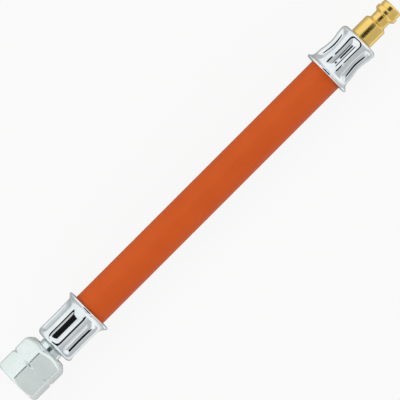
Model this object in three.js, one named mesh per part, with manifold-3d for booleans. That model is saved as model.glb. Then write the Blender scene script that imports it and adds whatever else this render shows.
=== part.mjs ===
// Flexible gas hose: a rubber hose with a union nut crimped on one end and a plug nipple on the other.
// Millimetres. The hose lies along X, with the nut at -X and the nipple at +X, and +Z is up.
// The flared mouths of the two ferrules rest on Z = 0, and the origin is under the middle of the length.

import * as THREE from 'three';
import { mergeVertices } from 'three/addons/utils/BufferGeometryUtils.js';
import Module from 'manifold-3d';

// Fit between pieces that seat on each other
const seatGap = 0.3;

// Hose
const hoseDiameter = 13.3;
const hoseBore = 6.3;
const hoseShowing = 118.4;
const boreTaper = 2.2;

// Both ferrules
const flareDiameter = 18.7;
const flareLength = 3.4;
const flareSharpness = 3;
const lipThickness = 0.55;
const restFlat = 4.4;
const ferruleWall = 0.7;
const endWall = 1.1;
const backCorner = 1.6;
const padCount = 7;
const padEdge = 0.55;
const padEndStep = 0.2;

// Ferrule at the nut end
const nutFerruleLength = 18.3;
const nutFerruleDiameter = 16;
const nutFerruleWaist = 0.1;
const nutPadDepth = 0.95;
const nutPadHollow = 9;
const nutRidgeWidth = 1.8;
const nutPadCorner = 1.2;
const nutPadBackMargin = 0.7;
const nutPadBackSlope = 2.2;
const nutPadFrontSlope = 3.5;
const nutPadFrontMargin = 1.8;
const nutPadTurn = 29.6;

// Ferrule at the nipple end
const nippleFerruleLength = 17.5;
const nippleFerruleDiameter = 15.6;
const nippleFerruleWaist = 0.7;
const nipplePadDepth = 0.95;
const nipplePadHollow = 7;
const nippleRidgeWidth = 1.1;
const nipplePadCorner = 2.2;
const nipplePadBackMargin = 0.5;
const nipplePadBackSlope = 3.6;
const nipplePadFrontSlope = 3.2;
const nipplePadFrontMargin = 1.7;
const nipplePadTurn = 20.9;

// Barbed tail, the same on the stem and on the nipple
const gasBore = 4;
const lockGrooveDiameter = 7.4;
const collarDiameter = 8.6;
const collarLength = 1;
const tailLength = 12;
const tailDiameter = 5.9;
const barbDiameter = 6.8;
const barbCount = 4;
const firstBarb = 0.8;
const tailTipDiameter = 5;

// Stem
const neckDiameter = 9;
const neckShowing = 2.1;
const headDiameter = 10.8;
const headLength = 2.9;
const coneAngle = 60;
const noseDiameter = 6.2;

// Union nut for a G 1/4 left-hand thread
const nutAcrossFlats = 17;
const nutLength = 16.3;
const threadMajor = 13.157;
const threadMinor = 11.445;
const threadLength = 9.6;
const reliefTaper = 0.8;
const nutBackWall = 3.1;
const mouthChamfer = 1;
const frontChamferRise = 0.9;
const frontChamferLength = 0.7;
const backChamferRise = 2.9;
const backChamferLength = 2.3;
const notchPlace = 8.1;
const notchRootDiameter = 17.5;
const notchWidth = 1.5;

// Plug nipple
const plugDiameter = 9;
const plugLength = 7.5;
const plugConeLength = 0.9;
const plugNeckDiameter = 6.6;
const plugNeckLength = 2.9;
const plugHeadDiameter = 8.8;
const plugHeadLength = 1.6;
const ringGrooveWidth = 0.3;
const ringGrooveDepth = 0.2;
const plugTipDiameter = 7.9;
const plugTipLength = 2.3;
const plugTipRound = 0.8;

// How far a blank or a cutter stands past the surface that it makes
const overcut = 1;

// Fineness of the round surfaces
const facetsPerPad = 12;
const hoseFacets = 28;
const turnedFacets = 36;
const nutFacets = 60;
const roundSteps = 3;
const bodySteps = 5;
const flareSteps = 3;

const ferruleFacets = padCount * facetsPerPad;
const facetAngle = (2 * Math.PI) / ferruleFacets;
const axisHeight = Math.sqrt((flareDiameter / 2) ** 2 - (restFlat / 2) ** 2);
const padPitch = (2 * Math.PI) / padCount;

const wasm = await Module();
wasm.setup();

function evenly(from, to, steps) {
  return Array.from({ length: steps + 1 }, (_, i) => from + ((to - from) * i) / steps);
}

// A quarter round from a flat end towards a cylinder, as [radius, place] points without the last one
function roundedEdge(cylinderRadius, endPlace, round, direction) {
  return evenly(0, Math.PI / 2, roundSteps).slice(0, -1).map((angle) => [
    cylinderRadius - round * (1 - Math.sin(angle)),
    endPlace + direction * round * (1 - Math.cos(angle)),
  ]);
}

// Revolves a closed outline of [radius, place along X] points round the X axis, with a facet at the bottom.
function turned(outline, facets) {
  const points = [...outline, outline[0]].map(([radius, along]) => new THREE.Vector2(radius, along));
  const geometry = new THREE.LatheGeometry(points, facets, Math.PI / facets);
  geometry.rotateZ(-Math.PI / 2);
  return merged(geometry);
}

// Only positions, with each shared corner stored once
function merged(geometry) {
  geometry.deleteAttribute('normal');
  geometry.deleteAttribute('uv');
  return mergeVertices(geometry);
}

function toSolid(geometry) {
  return new wasm.Manifold(new wasm.Mesh({
    numProp: 3,
    vertProperties: new Float32Array(geometry.attributes.position.array),
    triVerts: new Uint32Array(geometry.index.array),
  }));
}

function toGeometry(solid) {
  const mesh = solid.getMesh();
  const geometry = new THREE.BufferGeometry();
  geometry.setAttribute('position', new THREE.BufferAttribute(mesh.vertProperties, 3));
  geometry.setIndex(new THREE.BufferAttribute(mesh.triVerts, 1));
  return geometry;
}

// Crimped ferrule. It is measured along X from its closed back end towards its flared mouth.

// A pad's middle lies on the edge or in the middle of a facet, so that the pad's two sides are alike.
function settledTurn(degrees) {
  const halfFacets = (2 * THREE.MathUtils.degToRad(degrees)) / facetAngle;
  return (Math.round(halfFacets) * facetAngle) / 2;
}

const nutFerrule = {
  length: nutFerruleLength,
  radius: nutFerruleDiameter / 2,
  waist: nutFerruleWaist,
  padDepth: nutPadDepth,
  padHollow: nutPadHollow,
  ridgeWidth: nutRidgeWidth,
  padCorner: nutPadCorner,
  padStart: nutPadBackMargin,
  padEnd: nutFerruleLength - nutPadFrontMargin,
  backSlope: nutPadBackSlope,
  frontSlope: nutPadFrontSlope,
  padTurn: settledTurn(nutPadTurn),
};

const nippleFerrule = {
  length: nippleFerruleLength,
  radius: nippleFerruleDiameter / 2,
  waist: nippleFerruleWaist,
  padDepth: nipplePadDepth,
  padHollow: nipplePadHollow,
  ridgeWidth: nippleRidgeWidth,
  padCorner: nipplePadCorner,
  padStart: nipplePadBackMargin,
  padEnd: nippleFerruleLength - nipplePadFrontMargin,
  backSlope: nipplePadBackSlope,
  frontSlope: nipplePadFrontSlope,
  padTurn: -settledTurn(nipplePadTurn),
};

// Outer radius on the ridges between the pads: a body drawn in at its waist, and a flare that curls outwards
function ridgeRadius(ferrule, along) {
  const { length, radius, waist } = ferrule;
  const flareStart = length - flareLength;
  const bodyShare = THREE.MathUtils.clamp((along - backCorner) / (flareStart - backCorner), 0, 1);
  const flareShare = Math.max(0, (along - flareStart) / flareLength);
  const drawnIn = waist * Math.sin(Math.PI * bodyShare) ** 2;
  return radius - drawnIn + (flareDiameter / 2 - radius) * flareShare ** flareSharpness;
}

// How far a crimping jaw presses the wall in, at an angle from the middle of its pad. A pad is a rectangle
// with round corners, and its floor is hollow from side to side and slopes up at both ends.
function pressDepth(ferrule, along, angle) {
  const { radius, padDepth, padHollow, ridgeWidth, padCorner, padStart, padEnd } = ferrule;
  const halfLength = (padEnd - padStart) / 2;
  const halfWidth = (radius * padPitch - ridgeWidth) / 2;
  const past = Math.abs(along - padStart - halfLength) - halfLength + padCorner;
  const aside = Math.abs(angle) * radius - halfWidth + padCorner;
  const beyond = Math.hypot(Math.max(past, 0), Math.max(aside, 0));
  const fromOutline = padCorner - beyond - Math.min(Math.max(past, aside), 0);
  const edgeShare = THREE.MathUtils.smoothstep(fromOutline, 0, padEdge);
  const slopeShare = Math.min((along - padStart) / ferrule.backSlope, (padEnd - along) / ferrule.frontSlope);
  const lengthShare = padEndStep + (1 - padEndStep) * THREE.MathUtils.smoothstep(slopeShare, 0, 1);
  const ridge = ridgeRadius(ferrule, along);
  const hollowRise = (ridge * Math.sin(angle)) ** 2 / (2 * padHollow);
  const floor = (ridge - padDepth + hollowRise) / Math.cos(angle);
  return Math.max(0, ridge - floor) * edgeShare * lengthShare;
}

function pressPads(geometry, ferrule) {
  const position = geometry.attributes.position;
  for (let i = 0; i < position.count; i++) {
    const along = position.getX(i);
    const y = position.getY(i);
    const z = position.getZ(i);
    const pads = (Math.atan2(y, z) - ferrule.padTurn) / padPitch;
    const angle = (pads - Math.round(pads)) * padPitch;
    const share = 1 - pressDepth(ferrule, along, angle) / Math.hypot(y, z);
    position.setXYZ(i, along, y * share, z * share);
  }
  return geometry;
}

// The mouth is a little flat where it lies on the ground, so that the hose doesn't roll.
function flattenMouth(geometry) {
  const position = geometry.attributes.position;
  for (let i = 0; i < position.count; i++) {
    position.setZ(i, Math.max(position.getZ(i), -axisHeight));
  }
  return geometry;
}

function wallStations(ferrule) {
  const flareStart = ferrule.length - flareLength;
  const flare = evenly(0, Math.PI / 2, flareSteps).map((angle) => flareStart + flareLength * Math.sin(angle));
  return [...evenly(backCorner, flareStart, bodySteps).slice(0, -1), ...flare];
}

function ferruleGeometry(ferrule) {
  const hole = lockGrooveDiameter / 2 + seatGap;
  const stations = wallStations(ferrule);
  const inner = stations.slice(0, -1).filter((along) => along > endWall).reverse();
  const shell = turned([
    [hole, 0],
    ...roundedEdge(ferrule.radius, 0, backCorner, 1),
    ...stations.map((along) => [ridgeRadius(ferrule, along), along]),
    [flareDiameter / 2 - lipThickness, ferrule.length],
    ...inner.map((along) => [ridgeRadius(ferrule, along) - ferruleWall, along]),
    [ferrule.radius - ferruleWall, endWall],
    [hole, endWall],
  ], ferruleFacets);
  return flattenMouth(pressPads(shell, ferrule));
}

// Barbed tail of the stem and of the nipple, in the frame of their ferrule. Its groove holds the end wall.
const grooveEnd = endWall + seatGap;
const collarEnd = grooveEnd + collarLength;
const tailEnd = collarEnd + tailLength;
const hoseEnd = collarEnd + seatGap;

function tailOutline() {
  const barbPitch = (tailLength - firstBarb) / barbCount;
  const barbs = Array.from({ length: barbCount }, (_, i) => collarEnd + firstBarb + i * barbPitch);
  return [
    [lockGrooveDiameter / 2, -seatGap],
    [lockGrooveDiameter / 2, grooveEnd],
    [collarDiameter / 2, grooveEnd],
    [collarDiameter / 2, collarEnd],
    [tailDiameter / 2, collarEnd],
    ...barbs.flatMap((along) => [[tailDiameter / 2, along], [barbDiameter / 2, along]]),
    [tailTipDiameter / 2, tailEnd],
    [gasBore / 2, tailEnd],
  ];
}

function stemGeometry() {
  const headBack = -neckShowing - nutBackWall - seatGap;
  const headFront = headBack - headLength;
  const coneRise = (headDiameter - noseDiameter) / 2;
  const nose = headFront - coneRise / Math.tan(THREE.MathUtils.degToRad(coneAngle / 2));
  return turned([
    [gasBore / 2, nose],
    [noseDiameter / 2, nose],
    [headDiameter / 2, headFront],
    [headDiameter / 2, headBack],
    [neckDiameter / 2, headBack],
    [neckDiameter / 2, -seatGap],
    ...tailOutline(),
  ], turnedFacets);
}

const neckStart = -plugLength - plugConeLength;
const neckEnd = neckStart - plugNeckLength;
const headStart = neckEnd - plugConeLength;
const ringGrooveStart = headStart - plugHeadLength;
const plugTipStart = ringGrooveStart - ringGrooveWidth;
const plugTipEnd = plugTipStart - plugTipLength;

function nippleGeometry() {
  const ringRadius = plugTipDiameter / 2 - ringGrooveDepth;
  return turned([
    [gasBore / 2, plugTipEnd],
    ...roundedEdge(plugTipDiameter / 2, plugTipEnd, plugTipRound, 1),
    [plugTipDiameter / 2, plugTipEnd + plugTipRound],
    [plugTipDiameter / 2, plugTipStart],
    [ringRadius, plugTipStart],
    [ringRadius, ringGrooveStart],
    [plugHeadDiameter / 2, ringGrooveStart],
    [plugHeadDiameter / 2, headStart],
    [plugNeckDiameter / 2, neckEnd],
    [plugNeckDiameter / 2, neckStart],
    [plugDiameter / 2, -plugLength],
    [plugDiameter / 2, -seatGap],
    ...tailOutline(),
  ], turnedFacets);
}

// Union nut, measured along X from its open mouth: a hexagon bar turned, bored and notched
function hexagonBar(acrossFlats, from, to) {
  const outline = new THREE.Shape(evenly(0, 2 * Math.PI, 6).slice(0, -1).map((angle) => {
    const cornerRadius = acrossFlats / Math.sqrt(3);
    return new THREE.Vector2(cornerRadius * Math.cos(angle), cornerRadius * Math.sin(angle));
  }));
  const bar = new THREE.ExtrudeGeometry(outline, { depth: to - from, bevelEnabled: false });
  bar.applyMatrix4(new THREE.Matrix4().makeBasis(
    new THREE.Vector3(0, 1, 0),
    new THREE.Vector3(0, 0, 1),
    new THREE.Vector3(1, 0, 0),
  ));
  bar.translate(from, 0, 0);
  return merged(bar);
}

function nutGeometry() {
  const corner = nutAcrossFlats / Math.sqrt(3);
  const clear = corner + overcut;
  const frontSlope = frontChamferLength / frontChamferRise;
  const backSlope = backChamferLength / backChamferRise;
  const seat = nutLength - nutBackWall;
  const hole = neckDiameter / 2 + seatGap;
  const turnedBlank = turned([
    [threadMinor / 2 + mouthChamfer, 0],
    [corner - frontChamferRise, 0],
    [clear, (clear - corner + frontChamferRise) * frontSlope],
    [clear, nutLength - (clear - corner + backChamferRise) * backSlope],
    [corner - backChamferRise, nutLength],
    [hole, nutLength],
    [hole, seat],
    [threadMajor / 2, seat],
    [threadMajor / 2, threadLength + reliefTaper],
    [threadMinor / 2, threadLength],
    [threadMinor / 2, mouthChamfer],
  ], nutFacets);
  const notchRadius = notchRootDiameter / 2;
  const notchSpread = ((clear - notchRadius) * notchWidth) / (2 * (corner - notchRadius));
  const notchCutter = turned([
    [notchRadius, notchPlace],
    [clear, notchPlace - notchSpread],
    [clear, notchPlace + notchSpread],
  ], nutFacets);
  const bar = hexagonBar(nutAcrossFlats, -overcut, nutLength + overcut);
  return toGeometry(toSolid(bar).intersect(toSolid(turnedBlank)).subtract(toSolid(notchCutter)));
}

// Hose, measured along X from the back end of the nut's ferrule. Both its ends are squeezed by the pads.
function squeezedRadius(ferrule, along) {
  const inner = ridgeRadius(ferrule, along) - ferruleWall - pressDepth(ferrule, along, 0);
  return Math.min(hoseDiameter / 2, inner - seatGap);
}

function squeezedEnd(ferrule) {
  const stations = [hoseEnd, ...wallStations(ferrule).filter((along) => along > hoseEnd)];
  return stations.map((along) => [squeezedRadius(ferrule, along), along]);
}

function hoseGeometry() {
  const span = nutFerruleLength + hoseShowing + nippleFerruleLength;
  const stretched = barbDiameter / 2 + seatGap;
  const stretchEnd = tailEnd + seatGap;
  const nippleSide = squeezedEnd(nippleFerrule).map(([radius, along]) => [radius, span - along]).reverse();
  return turned([
    ...squeezedEnd(nutFerrule),
    ...nippleSide,
    [stretched, span - hoseEnd],
    [stretched, span - stretchEnd],
    [hoseBore / 2, span - stretchEnd - boreTaper],
    [hoseBore / 2, stretchEnd + boreTaper],
    [stretched, stretchEnd],
    [stretched, hoseEnd],
  ], hoseFacets);
}

// Finishes
const brightPlate = { color: 0xdfe4e8, roughness: 0.12, metalness: 1 };
const satinZinc = { color: 0xc3cdca, roughness: 0.42, metalness: 0.85 };
const turnedBrass = { color: 0xd2ac4e, roughness: 0.22, metalness: 1 };
const orangeRubber = { color: 0xcc5424, roughness: 0.6, metalness: 0 };

function piece(name, geometry, finish) {
  geometry.computeVertexNormals();
  const mesh = new THREE.Mesh(geometry, new THREE.MeshStandardMaterial({ ...finish, flatShading: true }));
  mesh.name = name;
  return mesh;
}

const plugShowing = -plugTipEnd;
const nutEndPlace = nutLength + neckShowing;
const nippleEndPlace = nutEndPlace + nutFerruleLength + hoseShowing + nippleFerruleLength;
const overallLength = nippleEndPlace + plugShowing;

const unionNut = piece('union_nut', nutGeometry(), satinZinc);
unionNut.position.x = -nutEndPlace;

const nutEnd = new THREE.Group();
nutEnd.position.x = nutEndPlace;
nutEnd.add(unionNut);
nutEnd.add(piece('hose_stem', stemGeometry(), satinZinc));
nutEnd.add(piece('crimp_ferrule_nut_end', ferruleGeometry(nutFerrule), brightPlate));
nutEnd.add(piece('hose', hoseGeometry(), orangeRubber));

const nippleEnd = new THREE.Group();
nippleEnd.position.x = nippleEndPlace;
nippleEnd.rotation.z = Math.PI;
nippleEnd.add(piece('plug_nipple', nippleGeometry(), turnedBrass));
nippleEnd.add(piece('crimp_ferrule_nipple_end', ferruleGeometry(nippleFerrule), brightPlate));

const gasHose = new THREE.Group();
gasHose.position.set(-overallLength / 2, 0, axisHeight);
gasHose.add(nutEnd, nippleEnd);

export default gasHose;
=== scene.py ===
"""The flexible gas hose, dressed: turned, pressed and notched metal ends on an orange rubber hose."""

import math

import bpy
import numpy as np
from mathutils import Matrix, Vector


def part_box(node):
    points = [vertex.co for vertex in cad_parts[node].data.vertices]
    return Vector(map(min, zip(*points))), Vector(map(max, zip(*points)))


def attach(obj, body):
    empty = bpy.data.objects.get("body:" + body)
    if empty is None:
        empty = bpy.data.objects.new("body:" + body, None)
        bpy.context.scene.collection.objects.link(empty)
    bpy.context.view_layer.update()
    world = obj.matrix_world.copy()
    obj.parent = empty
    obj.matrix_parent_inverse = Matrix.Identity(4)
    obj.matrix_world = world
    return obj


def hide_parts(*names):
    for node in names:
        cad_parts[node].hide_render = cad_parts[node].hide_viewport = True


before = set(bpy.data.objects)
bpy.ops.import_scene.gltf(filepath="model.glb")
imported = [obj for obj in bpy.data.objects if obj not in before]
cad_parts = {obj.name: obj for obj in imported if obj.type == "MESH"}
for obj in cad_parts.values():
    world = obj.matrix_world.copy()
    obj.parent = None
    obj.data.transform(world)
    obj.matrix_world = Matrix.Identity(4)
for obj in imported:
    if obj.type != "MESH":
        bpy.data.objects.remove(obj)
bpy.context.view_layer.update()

MM = 0.001

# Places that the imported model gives. The hose lies along X, with the nut at the low end.
nut_low, nut_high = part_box("union_nut")
stem_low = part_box("hose_stem")[0]
nut_ferrule_low, nut_ferrule_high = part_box("crimp_ferrule_nut_end")
nipple_ferrule_low, nipple_ferrule_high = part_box("crimp_ferrule_nipple_end")
hose_low, hose_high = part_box("hose")
nipple_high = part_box("plug_nipple")[1]
AXIS_HEIGHT = (nut_low.z + nut_high.z) / 2

# Camera, square to the hose, and tilted from the vertical until the nut's corner stands as in the photo
CAMERA_TILT = math.radians(17.2)
CAMERA_AWAY = 2.0
CAMERA_REACH = 5
SENSOR_MM = 36
PICTURE = 400
METRES_A_PIXEL = 0.3547 * MM
OBJECT_MIDDLE = (204.85, 195.05)

toward_camera = Vector((0, math.sin(CAMERA_TILT), math.cos(CAMERA_TILT)))
across = Vector((0, math.cos(CAMERA_TILT), -math.sin(CAMERA_TILT)))
along_hose = Vector((1, 0, 0))
camera_right = (along_hose - across).normalized()
camera_up = (along_hose + across).normalized()


def make_camera():
    bpy.ops.object.camera_add()
    camera = bpy.context.object
    camera.name = "camera"
    camera.data.sensor_width = SENSOR_MM
    camera.data.lens = SENSOR_MM * CAMERA_AWAY / (PICTURE * METRES_A_PIXEL)
    camera.data.clip_end = CAMERA_REACH
    right = (PICTURE / 2 - OBJECT_MIDDLE[0]) * METRES_A_PIXEL
    up = (OBJECT_MIDDLE[1] - PICTURE / 2) * METRES_A_PIXEL
    aim = Vector((0, 0, AXIS_HEIGHT)) + camera_right * right + camera_up * up
    turn = Matrix((camera_right, camera_up, toward_camera)).transposed()
    camera.matrix_world = Matrix.Translation(aim + toward_camera * CAMERA_AWAY) @ turn.to_4x4()
    bpy.context.scene.camera = camera


make_camera()


# Modelling
MERGE_DISTANCE = 0.001 * MM
SMOOTH_TO = 30
SOFT_EDGE_ANGLE = math.radians(25)
SOFT_EDGE_STEPS = 2
ROUND_STEPS = 8


def deselect():
    if bpy.context.object and bpy.context.object.mode != "OBJECT":
        bpy.ops.object.mode_set(mode="OBJECT")
    bpy.ops.object.select_all(action="DESELECT")


def make_active(piece):
    deselect()
    piece.select_set(True)
    bpy.context.view_layer.objects.active = piece


def ring_of_points(points):
    """A closed ring of edges through the points."""
    deselect()
    bpy.ops.mesh.primitive_circle_add(vertices=len(points), radius=MM)
    ring = bpy.context.object
    for vertex, point in zip(ring.data.vertices, points):
        vertex.co = point
    return ring


def turned(outline, facets):
    """A closed outline of (place along X, radius) points, turned round the hose's axis."""
    piece = ring_of_points([(place, 0, AXIS_HEIGHT + radius) for place, radius in outline])
    bpy.ops.object.mode_set(mode="EDIT")
    bpy.ops.mesh.select_all(action="SELECT")
    bpy.ops.mesh.spin(steps=facets, angle=2 * math.pi, center=(0, 0, AXIS_HEIGHT), axis=(1, 0, 0))
    bpy.ops.mesh.select_all(action="SELECT")
    bpy.ops.mesh.remove_doubles(threshold=MERGE_DISTANCE)
    bpy.ops.mesh.normals_make_consistent(inside=False)
    bpy.ops.object.mode_set(mode="OBJECT")
    return piece


def read_points(piece):
    flat = np.empty(len(piece.data.vertices) * 3)
    piece.data.vertices.foreach_get("co", flat)
    return flat.reshape(-1, 3)


def write_points(piece, points):
    piece.data.vertices.foreach_set("co", points.ravel())
    piece.data.update()


def soften_edges(piece, width):
    """Rounds every sharp edge."""
    make_active(piece)
    bevel = piece.modifiers.new("soft edges", "BEVEL")
    bevel.limit_method = "ANGLE"
    bevel.angle_limit = SOFT_EDGE_ANGLE
    bevel.width = width
    bevel.segments = SOFT_EDGE_STEPS
    bevel.miter_outer = "MITER_ARC"
    bpy.ops.object.modifier_apply(modifier=bevel.name)


def cut_away(piece, tool):
    """Cuts a tool out of a piece, and uses the tool up."""
    make_active(piece)
    boolean = piece.modifiers.new("cut", "BOOLEAN")
    boolean.operation = "DIFFERENCE"
    boolean.solver = "EXACT"
    boolean.object = tool
    bpy.ops.object.modifier_apply(modifier=boolean.name)
    bpy.data.objects.remove(tool, do_unlink=True)


def finish_piece(piece, name, node, body, material, smooth_to=SMOOTH_TO):
    make_active(piece)
    bpy.ops.object.transform_apply(location=True, rotation=True, scale=True)
    bpy.ops.object.shade_smooth_by_angle(angle=math.radians(smooth_to))
    piece.name = name
    piece.data.name = name
    piece.data.materials.clear()
    piece.data.materials.append(material)
    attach(piece, body)
    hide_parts(node)
    return piece


def evenly(low, high, steps):
    return [low + (high - low) * i / steps for i in range(steps + 1)]


def round_corner(place, radius, size):
    """Outline points of a quarter round, from the end face at a place to the outside at a radius."""
    return [(place + size * (1 - math.cos(a)), radius - size * (1 - math.sin(a)))
            for a in evenly(0, math.pi / 2, ROUND_STEPS)]


def smoothstep(value, low, high):
    share = np.clip((value - low) / (high - low), 0, 1)
    return share * share * (3 - 2 * share)


def rounded_least(first, second, fillet):
    """The lesser of two heights, with a fillet where they cross."""
    share = np.clip(0.5 + (second - first) / (2 * fillet), 0, 1)
    return second + (first - second) * share - fillet * share * (1 - share)


# Materials. Patterns are in steps a metre, and noise runs mostly from its low to its high value.
NOISE_LOW = 0.3
NOISE_HIGH = 0.7
BLACK = (0, 0, 0, 1)
WHITE = (1, 1, 1, 1)


class Value:
    """A socket in a material that sums can be written with."""

    def __init__(self, nodes, socket):
        self.nodes = nodes
        self.socket = socket

    def math(self, operation, *terms):
        return self.nodes.node("ShaderNodeMath", {"operation": operation}, terms)

    def __add__(self, other):
        return self.math("ADD", self, other)

    def __sub__(self, other):
        return self.math("SUBTRACT", self, other)

    def __rsub__(self, other):
        return self.math("SUBTRACT", other, self)

    def __mul__(self, other):
        return self.math("MULTIPLY", self, other)

    def __abs__(self):
        return self.math("ABSOLUTE", self)

    __radd__ = __add__
    __rmul__ = __mul__

    def at_least(self, other):
        return self.math("MAXIMUM", self, other)

    def limited(self):
        return self.nodes.node("ShaderNodeClamp", {}, [self, 0.0, 1.0])


class Nodes:
    """A node tree under construction."""

    def __init__(self, tree):
        self.tree = tree

    def put(self, socket, value):
        if isinstance(value, Value):
            self.tree.links.new(value.socket, socket)
        else:
            socket.default_value = value

    def node(self, kind, settings, values, output=0):
        """Adds a node, with its settings first and then the values or links of its sockets."""
        made = self.tree.nodes.new(kind)
        for name, value in settings.items():
            setattr(made, name, value)
        pairs = values.items() if isinstance(values, dict) else enumerate(values)
        for key, value in pairs:
            self.put(made.inputs[key], value)
        return Value(self, made.outputs[output])

    def part_of(self, places, axis):
        return self.node("ShaderNodeSeparateXYZ", {}, [places], axis)

    def for_rays(self, kind):
        """1 for rays of a kind, and 0 for all others."""
        return self.node("ShaderNodeLightPath", {}, [], f"Is {kind} Ray")

    def ranged(self, value, low, high, new_low, new_high):
        return self.node("ShaderNodeMapRange", {"clamp": True}, [value, low, high, new_low, new_high])


class Finish(Nodes):
    """A material under construction."""

    def __init__(self, name, **surface):
        self.material = bpy.data.materials.new(name)
        self.material.use_nodes = True
        super().__init__(self.material.node_tree)
        self.surface = self.tree.nodes["Principled BSDF"]
        for socket, value in surface.items():
            self.set(socket.replace("_", " "), value)
        self.place = self.node("ShaderNodeTexCoord", {}, [], "Object")

    def set(self, socket, value):
        self.put(self.surface.inputs[socket], value)

    def stretched(self, x, y, z):
        """Places with each axis scaled."""
        return self.node("ShaderNodeMapping", {}, {"Vector": self.place, "Scale": (x, y, z)})

    def noise(self, places, scale, detail):
        return self.node("ShaderNodeTexNoise", {}, {"Vector": places, "Scale": scale, "Detail": detail})

    def between(self, share, first, second):
        """A colour between two colours."""
        return self.node("ShaderNodeMix", {"data_type": "RGBA"}, {0: share, 6: first, 7: second}, 2)

    def vary_colour(self, pattern, first, second, low=NOISE_LOW):
        share = self.ranged(pattern, low, NOISE_HIGH, 0, 1)
        self.set("Base Color", self.between(share, first, second))

    def vary_roughness(self, pattern, smoothest, roughest):
        self.set("Roughness", self.ranged(pattern, NOISE_LOW, NOISE_HIGH, smoothest, roughest))

    def bump(self, height, distance):
        self.set("Normal", self.node("ShaderNodeBump", {}, {"Height": height, "Distance": distance}))


def colour(red, green, blue):
    """A colour written as a screen shows it, from 0 to 255."""
    def linear(level):
        share = level / 255
        return share / 12.92 if share <= 0.04045 else ((share + 0.055) / 1.055) ** 2.4
    return (linear(red), linear(green), linear(blue), 1.0)


def bright_plate():
    finish = Finish("bright_plate", Metallic=1.0)
    cloudy = finish.noise(finish.place, 180, 3)
    drawn = finish.noise(finish.stretched(300, 2600, 2600), 1, 2)
    finish.vary_colour(cloudy, colour(226, 234, 238), colour(240, 244, 245), low=0.35)
    finish.vary_roughness(cloudy * 0.6 + drawn * 0.4, 0.03, 0.08)
    finish.bump(finish.noise(finish.place, 420, 2), 0.008 * MM)
    return finish.material


def zinc_plate(name, metallic, smoothest):
    finish = Finish(name, Metallic=metallic)
    cloudy = finish.noise(finish.place, 160, 4)
    grain = finish.noise(finish.place, 5200, 2)
    finish.vary_colour(cloudy, colour(227, 239, 237), colour(237, 246, 245))
    finish.vary_roughness(cloudy, smoothest, smoothest + 0.08)
    finish.bump(grain, 0.002 * MM)
    return finish.material


def turned_brass():
    finish = Finish("turned_brass", Metallic=1.0)
    rings = finish.noise(finish.stretched(9000, 60, 60), 1, 2)
    cloudy = finish.noise(finish.place, 220, 3)
    finish.vary_colour(cloudy, colour(250, 213, 120), colour(253, 221, 134))
    finish.vary_roughness(rings * 0.3 + cloudy * 0.7, 0.23, 0.27)
    finish.bump(rings, 0.0001 * MM)
    return finish.material


def orange_rubber():
    finish = Finish("orange_rubber", Specular_IOR_Level=0.25)
    cloudy = finish.noise(finish.place, 90, 4)
    lines = finish.noise(finish.stretched(25, 2400, 2400), 1, 3)
    pores = finish.noise(finish.place, 3800, 3)
    finish.vary_colour(cloudy * 0.7 + lines * 0.3, colour(204, 84, 22), colour(212, 92, 30))
    finish.vary_roughness(cloudy * 0.5 + pores * 0.5, 0.42, 0.58)
    finish.bump(lines * 0.5 + pores * 0.5, 0.02 * MM)
    return finish.material


plate = bright_plate()
nut_zinc = zinc_plate("satin_zinc", 0.65, 0.13)
stem_zinc = zinc_plate("bright_zinc", 0.95, 0.12)
brass = turned_brass()
rubber = orange_rubber()


# Ferrules, measured along X from their closed back ends towards their flared mouths
FLARE_LENGTH = 3.4 * MM
FLARE_SHARPNESS = 3
FLARE_CREST = 0.75 * MM
CREST_ROUND = 0.9 * MM
CREST_FILLET = 0.12 * MM
LIP = 0.7 * MM
LIP_STEPS = 6
FERRULE_WALL = 0.7 * MM
END_WALL = 1.1 * MM
END_HOLE = 4.0 * MM
BACK_CORNER = 1.6 * MM
BODY_STATIONS = 56
FLARE_STATIONS = 16
FERRULE_SMOOTH_TO = 40
PADS = 7
PAD_PITCH = 2 * math.pi / PADS
PAD_FILLET = 0.06 * MM
PAD_END_STEP = 0.2
SHOULDER_BLEND = 0.12
FACETS_A_PAD = 48
flare_radius = nut_ferrule_high.z - AXIS_HEIGHT

# A pad lies between its margins and the ridges, with round corners. Its shoulders are round, with one
# radius on its low side and one on its high side. Its ends slope, and its floor is hollow and leans.
nut_ferrule = {
    "back": nut_ferrule_low.x, "toward": 1, "length": nut_ferrule_high.x - nut_ferrule_low.x,
    "radius": 8.0 * MM, "waist": 0.1 * MM, "ridge": 1.1 * MM, "corner": 2.4 * MM,
    "shoulders": (2.1 * MM, 1.2 * MM), "depth": 1.25 * MM, "lean": 0.12,
    "hollow_slope": 0.2, "hollow_round": 1.0 * MM,
    "back_margin": 0.7 * MM, "front_margin": 1.8 * MM, "back_slope": 2.2 * MM, "front_slope": 3.5 * MM,
    "turn": math.radians(30),
}
nipple_ferrule = {
    "back": nipple_ferrule_high.x, "toward": -1, "length": nipple_ferrule_high.x - nipple_ferrule_low.x,
    "radius": 7.8 * MM, "waist": 0.7 * MM, "ridge": 1.1 * MM, "corner": 2.2 * MM,
    "shoulders": (1.5 * MM, 1.9 * MM), "depth": 1.5 * MM, "lean": 0.04,
    "hollow_slope": 0.29, "hollow_round": 0.6 * MM,
    "back_margin": 0.5 * MM, "front_margin": 1.7 * MM, "back_slope": 3.6 * MM, "front_slope": 3.2 * MM,
    "turn": math.radians(21.43),
}


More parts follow.
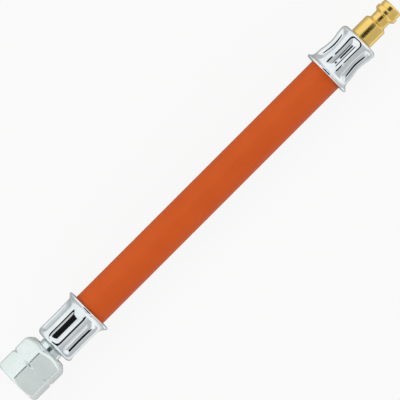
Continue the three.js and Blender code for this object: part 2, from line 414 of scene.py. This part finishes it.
def ridge_radius(ferrule, along):
    """Outer radius between the pads: a body drawn in at its waist, and a flare that curls outwards."""
    flare_start = ferrule["length"] - FLARE_LENGTH
    body_share = np.clip((along - BACK_CORNER) / (flare_start - BACK_CORNER), 0, 1)
    flare_share = np.maximum(0, (along - flare_start) / (FLARE_LENGTH - FLARE_CREST))
    drawn_in = ferrule["waist"] * np.sin(math.pi * body_share) ** 2
    radius = ferrule["radius"]
    curl = radius - drawn_in + (flare_radius - radius) * flare_share ** FLARE_SHARPNESS
    crest = flare_radius - (along - ferrule["length"] + FLARE_CREST) ** 2 / (2 * CREST_ROUND)
    near_mouth = along > flare_start + FLARE_LENGTH / 3
    return np.where(near_mouth, rounded_least(curl, crest, CREST_FILLET), curl)


def inside_pad(ferrule, along, angle):
    """How far a point lies inside the round-cornered outline of its pad, measured on the surface."""
    corner = ferrule["corner"]
    half_length = (ferrule["length"] - ferrule["front_margin"] - ferrule["back_margin"]) / 2
    half_width = (ferrule["radius"] * PAD_PITCH - ferrule["ridge"]) / 2
    past = np.abs(along - ferrule["back_margin"] - half_length) - half_length + corner
    aside = np.abs(angle) * ferrule["radius"] - half_width + corner
    beyond = np.hypot(np.maximum(past, 0), np.maximum(aside, 0))
    return corner - beyond - np.minimum(np.maximum(past, aside), 0)


def press_depth(ferrule, along, angle):
    """How far a crimping jaw presses the wall in, at an angle from the middle of its pad."""
    low_side, high_side = ferrule["shoulders"]
    shoulder_radius = low_side + (high_side - low_side) * smoothstep(angle, -SHOULDER_BLEND, SHOULDER_BLEND)
    shoulder = np.maximum(inside_pad(ferrule, along, angle), 0) ** 2 / (2 * shoulder_radius)
    from_back = (along - ferrule["back_margin"]) / ferrule["back_slope"]
    from_front = (ferrule["length"] - ferrule["front_margin"] - along) / ferrule["front_slope"]
    length_share = PAD_END_STEP + (1 - PAD_END_STEP) * smoothstep(np.minimum(from_back, from_front), 0, 1)
    ridge = ridge_radius(ferrule, along)
    hollow_round = ferrule["hollow_round"]
    offset = ridge * np.sin(angle)
    hollow = ferrule["hollow_slope"] * (np.hypot(offset, hollow_round) - hollow_round)
    floor = (ridge - ferrule["depth"] + hollow + ferrule["lean"] * offset) / np.cos(angle)
    return np.maximum(0, rounded_least(shoulder, (ridge - floor) * length_share, PAD_FILLET))


def ferrule_outline(ferrule):
    length = ferrule["length"]
    flare_start = length - FLARE_LENGTH
    lip_at = length - LIP / 2
    stations = evenly(BACK_CORNER, flare_start, BODY_STATIONS)[1:]
    stations += evenly(flare_start, lip_at, FLARE_STATIONS)[1:]
    outer = [(at, float(ridge_radius(ferrule, at))) for at in stations]
    lip_radius = outer[-1][1] - LIP / 2
    lip = [(lip_at + LIP / 2 * math.sin(a), lip_radius + LIP / 2 * math.cos(a))
           for a in evenly(0, math.pi, LIP_STEPS)[1:]]
    inside = [at for at in stations if END_WALL < at < length - 2 * LIP][::-2]
    inner = [(at, float(ridge_radius(ferrule, at)) - FERRULE_WALL) for at in inside]
    wall = [(END_WALL, inner[-1][1]), (END_WALL, END_HOLE), (0, END_HOLE)]
    points = round_corner(0, ferrule["radius"], BACK_CORNER) + outer + lip + inner + wall
    return [(ferrule["back"] + ferrule["toward"] * at, r) for at, r in points]


def press_pads(piece, ferrule):
    """Moves both walls of the turned shell inwards where the jaws press."""
    points = read_points(piece)
    along = (points[:, 0] - ferrule["back"]) * ferrule["toward"]
    y = points[:, 1]
    z = points[:, 2] - AXIS_HEIGHT
    pads = (np.arctan2(y, z) - ferrule["turn"]) / PAD_PITCH
    angle = (pads - np.round(pads)) * PAD_PITCH
    share = 1 - press_depth(ferrule, along, angle) / np.hypot(y, z)
    points[:, 1] = y * share
    points[:, 2] = np.maximum(z * share + AXIS_HEIGHT, 0)
    write_points(piece, points)


def make_ferrule(name, ferrule):
    piece = turned(ferrule_outline(ferrule), PADS * FACETS_A_PAD)
    press_pads(piece, ferrule)
    return finish_piece(piece, name, "crimp_" + name, "hose_body", plate, FERRULE_SMOOTH_TO)


# Barbed tails, the same on the stem and on the nipple, measured from the back end of their ferrule
SEAT_GAP = 0.3 * MM
GAS_BORE = 2.0 * MM
GROOVE = 3.7 * MM
COLLAR = 4.3 * MM
COLLAR_LENGTH = 1.0 * MM
TAIL = 2.95 * MM
BARB = 3.4 * MM
BARBS = 4
FIRST_BARB = 0.8 * MM
TAIL_TIP = 2.5 * MM
TAIL_LENGTH = 12 * MM
TURNED_FACETS = 128


def tail_outline():
    groove_end = END_WALL + SEAT_GAP
    collar_end = groove_end + COLLAR_LENGTH
    pitch = (TAIL_LENGTH - FIRST_BARB) / BARBS
    barbs = [collar_end + FIRST_BARB + i * pitch for i in range(BARBS)]
    steps = [point for at in barbs for point in ((at, TAIL), (at, BARB))]
    groove = [(-SEAT_GAP, GROOVE), (groove_end, GROOVE)]
    collar = [(groove_end, COLLAR), (collar_end, COLLAR), (collar_end, TAIL)]
    end = [(collar_end + TAIL_LENGTH, TAIL_TIP), (collar_end + TAIL_LENGTH, GAS_BORE)]
    return groove + collar + steps + end


# Stem
NECK = 4.5 * MM
NECK_SHOWING = 2.1 * MM
HEAD = 5.4 * MM
HEAD_LENGTH = 2.9 * MM
NOSE = 3.1 * MM
STEM_EDGE = 0.12 * MM
NUT_BACK_WALL = 3.1 * MM


def make_stem():
    head_back = -NECK_SHOWING - NUT_BACK_WALL - SEAT_GAP
    head_front = head_back - HEAD_LENGTH
    nose = stem_low.x - nut_ferrule_low.x
    outline = [(nose, GAS_BORE), (nose, NOSE), (head_front, HEAD), (head_back, HEAD), (head_back, NECK),
               (-SEAT_GAP, NECK)] + tail_outline()
    piece = turned([(nut_ferrule_low.x + at, radius) for at, radius in outline], TURNED_FACETS)
    soften_edges(piece, STEM_EDGE)
    return finish_piece(piece, "stem", "hose_stem", "hose_body", stem_zinc)


# Plug nipple
PLUG = 4.5 * MM
PLUG_LENGTH = 7.5 * MM
PLUG_CONE = 0.9 * MM
PLUG_NECK = 3.3 * MM
PLUG_NECK_LENGTH = 2.9 * MM
PLUG_HEAD = 4.4 * MM
PLUG_HEAD_LENGTH = 1.6 * MM
RING_GROOVE = 0.3 * MM
RING_DEPTH = 0.2 * MM
PLUG_TIP = 3.95 * MM
PLUG_TIP_ROUND = 0.8 * MM
PLUG_EDGE = 0.1 * MM


def make_nipple():
    cone_start = -PLUG_LENGTH - PLUG_CONE
    neck_end = cone_start - PLUG_NECK_LENGTH
    head_start = neck_end - PLUG_CONE
    groove_start = head_start - PLUG_HEAD_LENGTH
    tip_start = groove_start - RING_GROOVE
    tip = nipple_ferrule_high.x - nipple_high.x
    outline = [(tip, GAS_BORE)] + round_corner(tip, PLUG_TIP, PLUG_TIP_ROUND) + [
        (tip_start, PLUG_TIP), (tip_start, PLUG_TIP - RING_DEPTH), (groove_start, PLUG_TIP - RING_DEPTH),
        (groove_start, PLUG_HEAD), (head_start, PLUG_HEAD), (neck_end, PLUG_NECK), (cone_start, PLUG_NECK),
        (-PLUG_LENGTH, PLUG), (-SEAT_GAP, PLUG)] + tail_outline()
    piece = turned([(nipple_ferrule_high.x - at, radius) for at, radius in outline], TURNED_FACETS)
    soften_edges(piece, PLUG_EDGE)
    return finish_piece(piece, "nipple", "plug_nipple", "hose_body", brass)


# Union nut, measured along X from its open mouth
THREAD_MINOR = 5.7225 * MM
THREAD_MAJOR = 6.5785 * MM
THREAD_LENGTH = 9.6 * MM
THREAD_PITCH = 1.337 * MM
THREAD_CREST = 0.12 * MM
THREAD_FLANK = math.radians(27.5)
COIL_INSIDE = 0.25 * MM
COIL_PAST_ENDS = 1 * MM
COIL_FACETS = 48
RELIEF_TAPER = 0.8 * MM
MOUTH_CHAMFER = 1.0 * MM
ACROSS_FLATS = 17 * MM
FRONT_CHAMFER = (0.7 * MM, 0.9 * MM)
BACK_CHAMFER = (2.3 * MM, 2.9 * MM)
NOTCH_PLACE = 8.1 * MM
NOTCH_ROOT = 8.65 * MM
NOTCH_WIDTH = 1.8 * MM
CORNER_FILLET = 1.0 * MM
CHAMFER_FILLET = 1.1 * MM
NOTCH_FILLET = 0.1 * MM
END_ROUND = 0.25 * MM
END_ROUND_STEPS = 5
NUT_FACETS = 240
NUT_STATIONS = 84
CORNER_CROWDING = 1.7
FLAT_ANGLE = math.pi / 3
nut_length = nut_high.x - nut_low.x
nut_corner = ACROSS_FLATS / math.sqrt(3)


def thread_coil():
    """A left-hand coil that cuts the thread's grooves."""
    root = THREAD_CREST + (THREAD_MAJOR - THREAD_MINOR) * math.tan(THREAD_FLANK)
    inside = THREAD_MINOR - COIL_INSIDE
    turns = (THREAD_LENGTH + 2 * COIL_PAST_ENDS) / THREAD_PITCH
    coil = ring_of_points([(-root, 0, inside), (-THREAD_CREST, 0, THREAD_MAJOR),
                           (THREAD_CREST, 0, THREAD_MAJOR), (root, 0, inside)])
    screw = coil.modifiers.new("thread", "SCREW")
    screw.axis = "X"
    screw.angle = -2 * math.pi * turns
    screw.screw_offset = THREAD_PITCH * turns
    screw.steps = round(COIL_FACETS * turns)
    screw.render_steps = screw.steps
    make_active(coil)
    bpy.ops.object.modifier_apply(modifier=screw.name)
    bpy.ops.object.mode_set(mode="EDIT")
    bpy.ops.mesh.select_all(action="SELECT")
    bpy.ops.mesh.fill_holes(sides=4)
    bpy.ops.mesh.normals_make_consistent(inside=False)
    bpy.ops.object.mode_set(mode="OBJECT")
    coil.location = (nut_low.x - COIL_PAST_ENDS, 0, AXIS_HEIGHT)
    bpy.ops.object.transform_apply(location=True, rotation=True, scale=True)
    return coil


def nut_radius(along, angle):
    """Outer radius of the nut: a hexagon with rounded corners, chamfered at both ends and notched."""
    turn = np.mod(angle, FLAT_ANGLE)
    flat = np.minimum(turn, FLAT_ANGLE - turn)
    nearest_flat = ACROSS_FLATS / 2 / np.cos(flat)
    next_flat = ACROSS_FLATS / 2 / np.cos(FLAT_ANGLE - flat)
    hexagon = rounded_least(nearest_flat, next_flat, CORNER_FILLET)
    front_run, front_rise = FRONT_CHAMFER
    back_run, back_rise = BACK_CHAMFER
    front = nut_corner - front_rise + along * front_rise / front_run
    back = nut_corner - back_rise + (nut_length - along) * back_rise / back_run
    notch = NOTCH_ROOT + np.abs(along - NOTCH_PLACE) * 2 * (nut_corner - NOTCH_ROOT) / NOTCH_WIDTH
    radius = rounded_least(rounded_least(hexagon, front, CHAMFER_FILLET), back, CHAMFER_FILLET)
    radius = rounded_least(radius, notch, NOTCH_FILLET)
    from_end = np.minimum(np.minimum(along, nut_length - along), END_ROUND)
    return radius - END_ROUND + np.sqrt(np.maximum(0, END_ROUND ** 2 - (END_ROUND - from_end) ** 2))


def crowded(angle):
    """An angle round the nut, moved towards the nearest corner, where the rounding needs the facets."""
    share = angle / FLAT_ANGLE - 0.5
    from_corner = (share - np.round(share)) * 2
    moved = np.sign(from_corner) * np.abs(from_corner) ** CORNER_CROWDING
    return (np.round(share) + 0.5 + moved / 2) * FLAT_ANGLE


def shape_nut(piece):
    """Moves the outside of the turned nut to its hexagon."""
    points = read_points(piece)
    y = points[:, 1]
    z = points[:, 2] - AXIS_HEIGHT
    angle = crowded(np.arctan2(y, z))
    reach = np.hypot(y, z)
    reach = np.where(reach > ACROSS_FLATS / 2, nut_radius(points[:, 0] - nut_low.x, angle), reach)
    points[:, 1] = reach * np.sin(angle)
    points[:, 2] = reach * np.cos(angle) + AXIS_HEIGHT
    write_points(piece, points)


def make_nut():
    seat = nut_length - NUT_BACK_WALL
    hole = NECK + SEAT_GAP
    round_end = [END_ROUND * (1 - math.cos(a)) for a in evenly(0, math.pi / 2, END_ROUND_STEPS)]
    stations = round_end + evenly(END_ROUND, nut_length - END_ROUND, NUT_STATIONS)[1:-1]
    stations += [nut_length - at for at in reversed(round_end)]
    outline = [(at, nut_corner) for at in stations] + [
        (nut_length, hole), (seat, hole), (seat, THREAD_MAJOR),
        (THREAD_LENGTH + RELIEF_TAPER, THREAD_MAJOR), (THREAD_LENGTH, THREAD_MINOR),
        (MOUTH_CHAMFER, THREAD_MINOR), (0, THREAD_MINOR + MOUTH_CHAMFER)]
    piece = turned([(nut_low.x + at, radius) for at, radius in outline], NUT_FACETS)
    shape_nut(piece)
    cut_away(piece, thread_coil())
    return finish_piece(piece, "nut", "union_nut", "nut", nut_zinc)


# Hose
HOSE = 6.65 * MM
HOSE_BORE = 3.15 * MM
BORE_TAPER = 2.2 * MM
HOSE_FACETS = 96
CLAMPED_STATIONS = 24
SHOWING_STATIONS = 40
ROUTE_STEPS = 24


def clamped_side(ferrule, start):
    """Outline points of the hose where a ferrule clamps it, from its end to the ferrule's mouth."""
    def radius(along):
        inner = ridge_radius(ferrule, along) - FERRULE_WALL - press_depth(ferrule, along, np.float64(0))
        return min(HOSE, float(inner) - SEAT_GAP)
    return [(ferrule["back"] + ferrule["toward"] * at, radius(at))
            for at in evenly(start, ferrule["length"], CLAMPED_STATIONS)]


def make_hose():
    start = hose_low.x - nut_ferrule["back"]
    showing = evenly(nut_ferrule_high.x, nipple_ferrule_low.x, SHOWING_STATIONS)[1:-1]
    outside = clamped_side(nut_ferrule, start) + [(at, HOSE) for at in showing]
    outside += reversed(clamped_side(nipple_ferrule, start))
    wide = BARB + SEAT_GAP
    wide_end = END_WALL + SEAT_GAP + COLLAR_LENGTH + TAIL_LENGTH + SEAT_GAP
    by_nipple = nipple_ferrule["back"] - wide_end
    by_nut = nut_ferrule["back"] + wide_end
    bore = [(hose_high.x, wide), (by_nipple, wide), (by_nipple - BORE_TAPER, HOSE_BORE),
            (by_nut + BORE_TAPER, HOSE_BORE), (by_nut, wide), (hose_low.x, wide)]
    piece = turned(outside + bore, HOSE_FACETS)
    return finish_piece(piece, "rubber_hose", "hose", "hose_body", rubber)


hose = make_hose()
make_ferrule("ferrule_nut_end", nut_ferrule)
ferrule_by_nipple = make_ferrule("ferrule_nipple_end", nipple_ferrule)
make_stem()
nipple = make_nipple()
make_nut()

route = [(at, 0, AXIS_HEIGHT) for at in evenly(hose_low.x, hose_high.x, ROUTE_STEPS)]


# Floor, surroundings and light. A range is given as where it starts and ends, and its value at each.
FLOOR_SIZE = 6
FLOOR_ROUGHNESS = 0.9
FLOOR_GREYS = ((0.56, 0.56, 0.56, 1), (0.6, 0.6, 0.6, 1))
FLOOR_WHITE = 0.9
# Painted shade in reflections: the floor's white glow to glossy rays fades out close to the hose
FLOOR_PAINTED_SHADE_IN_REFLECTIONS = (0.008, 0.045, 0.0, 0.95)
WORLD_LEVEL = 0.5
SKY_SIDES = (-0.3, 0.3, 0.57, 1.0)
SKY_ENDS = (0.3, 0.7, 0.0, 1.05)
CARD_AWAY = 0.5
CARD_MIDDLE = math.radians(25)
CARD_SIZE = (0.5, 0.4)
CARD_FADE = (0.36, 0.5, 0.01, 0.5)
LIGHT_SIZE = 0.7
KEY_PLACE = (-0.25, 0.75, 0.8)
KEY_POWER = 6
KEY_TINT = (1.0, 1.0, 0.96)
FILL_PLACE = (0.2, -0.9, 0.35)
FILL_POWER = 3
FILL_TINT = (1.0, 0.82, 0.87)


def floor_material():
    """Pale and shaded, and white to the camera. In the metal's reflections it glows white, apart from a
    painted shade right under the hose.
    """
    finish = Finish("floor", Roughness=FLOOR_ROUGHNESS)
    finish.set("Base Color", finish.between(finish.noise(finish.place, 9, 3), *FLOOR_GREYS))
    # Painted shade: glossy rays see the white glow only away from the hose, and the darker shaded floor
    # right under it
    mirrored = finish.ranged(abs(finish.part_of(finish.place, "Y")), *FLOOR_PAINTED_SHADE_IN_REFLECTIONS)
    seen = (finish.for_rays("Camera") * FLOOR_WHITE).at_least(finish.for_rays("Glossy") * mirrored)
    seen = seen.at_least(finish.for_rays("Transmission") * FLOOR_WHITE)
    shaded = Value(finish, finish.surface.outputs[0])
    white = finish.node("ShaderNodeEmission", {}, [])
    shown = finish.node("ShaderNodeMixShader", {}, [seen, shaded, white])
    finish.put(finish.tree.nodes["Material Output"].inputs["Surface"], shown)
    return finish.material


def make_floor():
    deselect()
    bpy.ops.mesh.primitive_plane_add(size=FLOOR_SIZE, location=(0, 0, 0))
    floor = bpy.context.object
    floor.name = "floor"
    floor.data.materials.append(floor_material())


def make_surroundings():
    """A white room to the camera, brighter to the metal on the nut's corner side than on the other."""
    world = bpy.data.worlds.new("studio")
    bpy.context.scene.world = world
    world.use_nodes = True
    sky = Nodes(world.node_tree)
    direction = sky.node("ShaderNodeTexCoord", {}, [], "Generated")
    ends = sky.ranged(abs(sky.part_of(direction, "X")), *SKY_ENDS)
    mirrored = ends.at_least(sky.ranged(sky.part_of(direction, "Y"), *SKY_SIDES))
    white = sky.for_rays("Camera") + sky.for_rays("Transmission")
    glossy = sky.for_rays("Glossy")
    others = 1 - white.at_least(glossy).limited()
    level = white.limited() + glossy * mirrored + others * WORLD_LEVEL
    sky.put(sky.tree.nodes["Background"].inputs["Color"], level)


def make_dark_card():
    """A dark card near the camera, which gives the bright metal its dark lines."""
    deselect()
    direction = Vector((0, math.sin(CARD_MIDDLE), math.cos(CARD_MIDDLE)))
    place = Vector((0, 0, AXIS_HEIGHT)) + direction * CARD_AWAY
    bpy.ops.mesh.primitive_plane_add(size=1, location=place, rotation=(-CARD_MIDDLE, 0, 0))
    card = bpy.context.object
    card.scale = (*CARD_SIZE, 1)
    card.name = "dark_card"
    black = Finish("card", Base_Color=BLACK, Specular_IOR_Level=0, Emission_Strength=1)
    fading = black.ranged(black.part_of(black.place, "Y"), *CARD_FADE)
    black.set("Emission Color", black.between(fading, BLACK, WHITE))
    card.data.materials.append(black.material)
    card.visible_camera = False
    card.visible_diffuse = False
    card.visible_shadow = False
    card.visible_transmission = False


def make_light(name, place, power, tint):
    deselect()
    bpy.ops.object.light_add(type="AREA", location=place)
    light = bpy.context.object
    light.name = name
    light.data.shape = "DISK"
    light.data.size = LIGHT_SIZE
    light.data.energy = power
    light.data.color = tint
    aim = Vector((0, 0, AXIS_HEIGHT)) - light.location
    light.rotation_euler = aim.to_track_quat("-Z", "Y").to_euler()
    light.visible_camera = False
    light.visible_glossy = False


make_floor()
make_surroundings()
make_dark_card()
make_light("key_light", KEY_PLACE, KEY_POWER, KEY_TINT)
make_light("fill_light", FILL_PLACE, FILL_POWER, FILL_TINT)
bpy.context.scene.view_settings.view_transform = "Standard"
